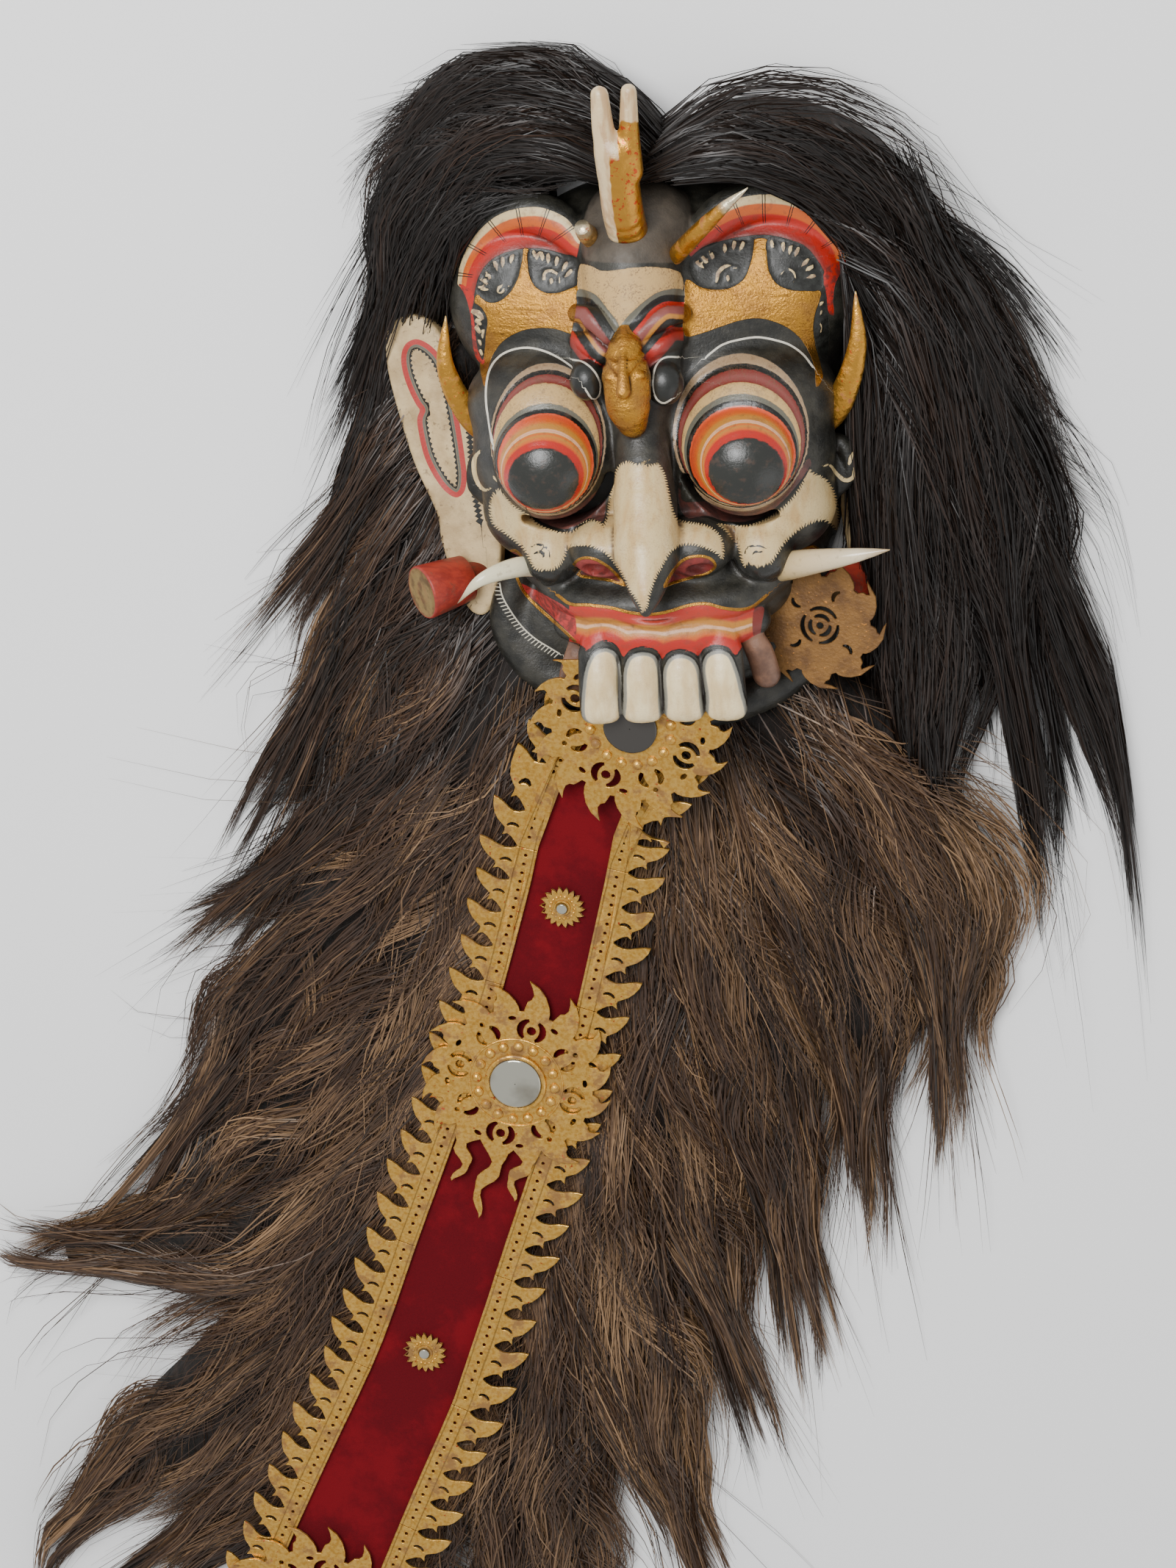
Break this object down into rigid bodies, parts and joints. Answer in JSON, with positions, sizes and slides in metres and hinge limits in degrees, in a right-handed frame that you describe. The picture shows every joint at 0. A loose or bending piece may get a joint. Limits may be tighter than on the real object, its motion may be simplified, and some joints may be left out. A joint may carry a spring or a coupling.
{
  "type": "rangda dance mask with wig and velvet tongue",
  "caption": "Carved and painted demon dance mask with bulging eyes, tusks and big teeth, a long velvet tongue edged in gilt leather flames, and a hair wig, lying face up.",
  "frame": {"origin": "on the ground, under the middle of the whole object's box", "axes": "+Z out of the face, +Y towards the crown, +X to the viewer's right; the tongue runs towards -Y and -X"},
  "size_m": [0.7552, 1.1384, 0.1483],
  "materials": {
    "painted_wood": "painted slate black, cream, red and gilt",
    "ear_wood": "cream paint over carved wood",
    "red_wood": "worn red paint",
    "gilt_wood": "gold leaf over carved wood",
    "bone": "polished horn and tusk",
    "velvet": "crushed velvet",
    "gilt_leather": "gold leaf on cut hide",
    "mirror_glass": "old mirror glass",
    "hair": "long brown hair"
  },
  "bodies": {
    "root": {"mask": "painted_wood", "tusk_left": "bone", "tusk_right": "bone", "horn_centre": "bone", "horn_stub_left": "bone", "horn_right": "gilt_wood", "side_horn_left": "gilt_wood", "side_horn_right": "gilt_wood", "ear_left": "ear_wood", "ear_right": "ear_wood", "ear_plug_left": "red_wood", "ear_plug_right": "red_wood", "ear_rosette": "gilt_leather", "tongue": "velvet", "border_left_1": "gilt_leather", "border_left_2": "gilt_leather", "border_left_3": "gilt_leather", "border_left_4": "gilt_leather", "border_left_5": "gilt_leather", "border_left_6": "gilt_leather", "border_left_7": "gilt_leather", "border_right_1": "gilt_leather", "border_right_2": "gilt_leather", "border_right_3": "gilt_leather", "border_right_4": "gilt_leather", "border_right_5": "gilt_leather", "border_right_6": "gilt_leather", "border_right_7": "gilt_leather", "rosette_chin": "gilt_leather", "mirror_chin": "mirror_glass", "rosette_middle": "gilt_leather", "mirror_middle": "mirror_glass", "rosette_bottom": "gilt_leather", "mirror_bottom": "mirror_glass", "flower_upper": "gilt_leather", "flower_mirror_upper": "mirror_glass", "flower_lower": "gilt_leather", "flower_mirror_lower": "mirror_glass", "hair_middle": "hair", "hair_right": "hair", "hair_lower_left": "hair", "hair_left": "hair", "crown_hair_right": "hair", "crown_hair_left": "hair"}
  },
  "joints": []
}
